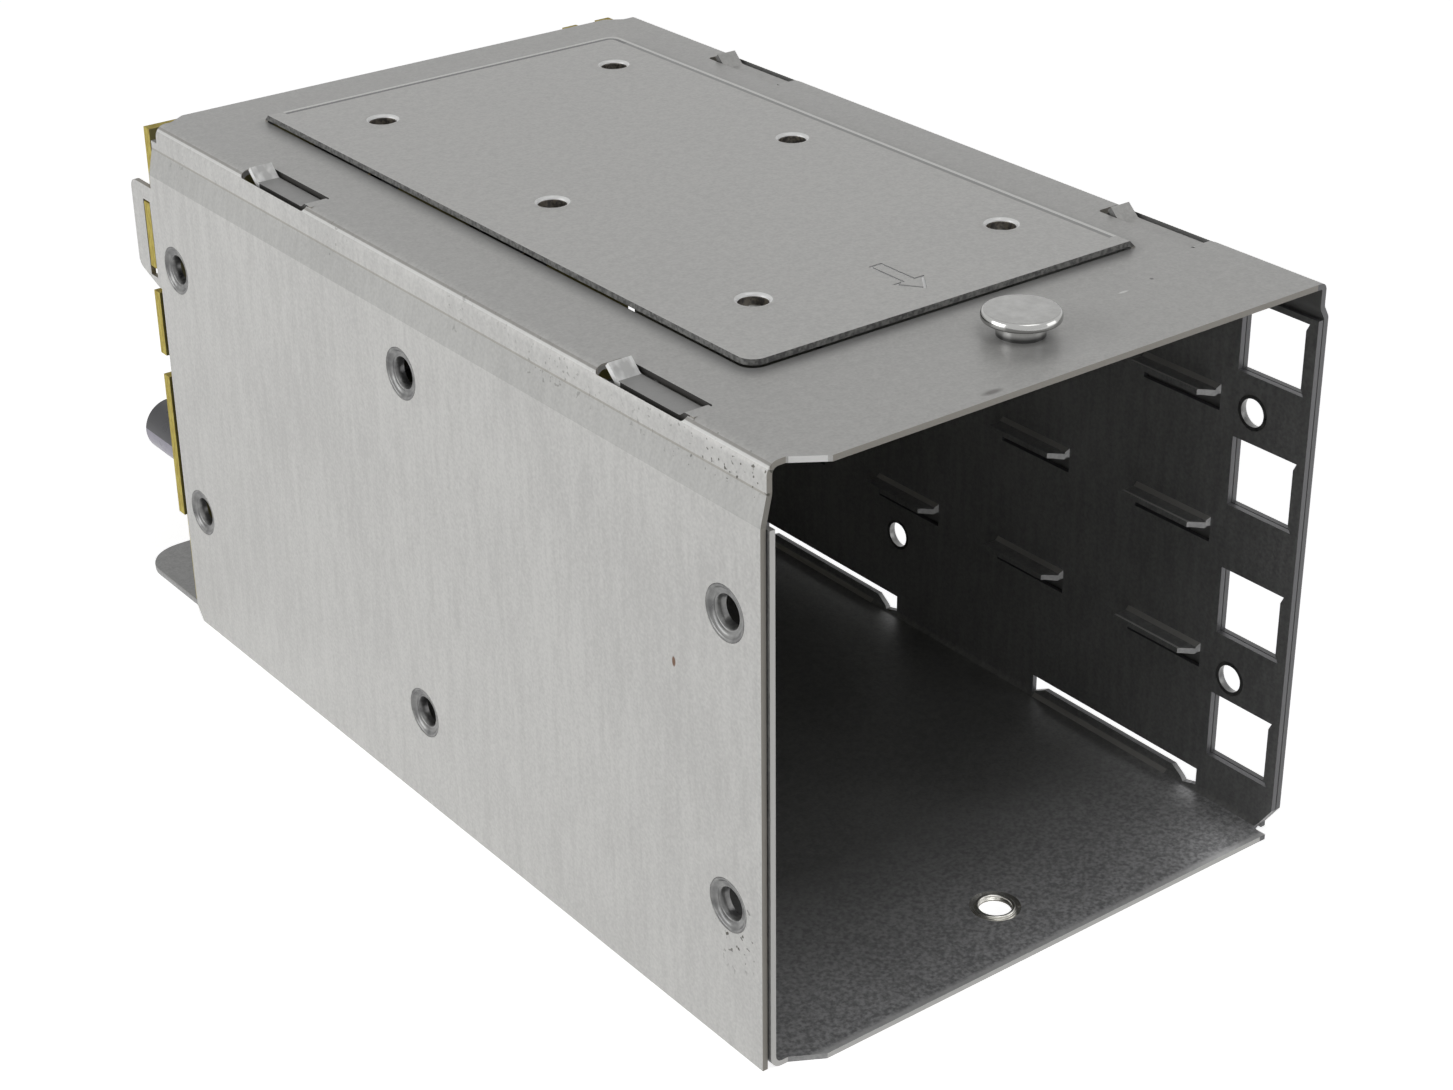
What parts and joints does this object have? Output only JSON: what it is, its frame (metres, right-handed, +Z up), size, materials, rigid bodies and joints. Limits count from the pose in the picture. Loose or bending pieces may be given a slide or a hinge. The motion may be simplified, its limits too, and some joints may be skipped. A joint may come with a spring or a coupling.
{
  "type": "hot swap drive cage",
  "caption": "Open-fronted sheet metal cage that holds stacked small disk drives on lanced ledges against a rear connector board.",
  "frame": {"origin": "centre of the bounding box in plan, on the underside of the floor", "axes": "+Z up, -Y out of the open front, +Y to the backplane, +X to the wall with the latch windows"},
  "size_m": [0.079, 0.1542, 0.0764],
  "materials": {
    "zinc_sheet_outer": "zinc coated, satin",
    "zinc_sheet_inner": "zinc coated, dull",
    "eyelet_steel": "rolled, burnished",
    "plated_stud": "bright plated",
    "plated_nut": "bright plated",
    "board_laminate": "bare laminate, olive yellow",
    "screw_steel": "plated",
    "black_plastic": "moulded",
    "gold_contact": "plated",
    "connector_shell": "formed sheet",
    "can_aluminium": "drawn",
    "capacitor_sleeve": "shrink sleeve"
  },
  "bodies": {
    "root": {"outer_cover": "zinc_sheet_outer", "inner_chassis": "zinc_sheet_inner", "left_wall_eyelets": "eyelet_steel", "right_wall_eyelets": "eyelet_steel", "top_mushroom_stud": "plated_stud", "floor_clinch_nut": "plated_nut", "backplane_board": "board_laminate", "backplane_screws": "screw_steel", "power_header": "black_plastic", "power_header_pins": "gold_contact", "data_connector_shell": "connector_shell", "data_connector_core": "black_plastic", "data_connector_contacts": "gold_contact", "status_header": "black_plastic", "status_header_pins": "gold_contact", "capacitor_can": "can_aluminium", "capacitor_sleeve": "capacitor_sleeve", "drive_connector_1": "black_plastic", "drive_contacts_1": "gold_contact", "drive_connector_2": "black_plastic", "drive_contacts_2": "gold_contact", "drive_connector_3": "black_plastic", "drive_contacts_3": "gold_contact", "drive_connector_4": "black_plastic", "drive_contacts_4": "gold_contact"}
  },
  "joints": []
}
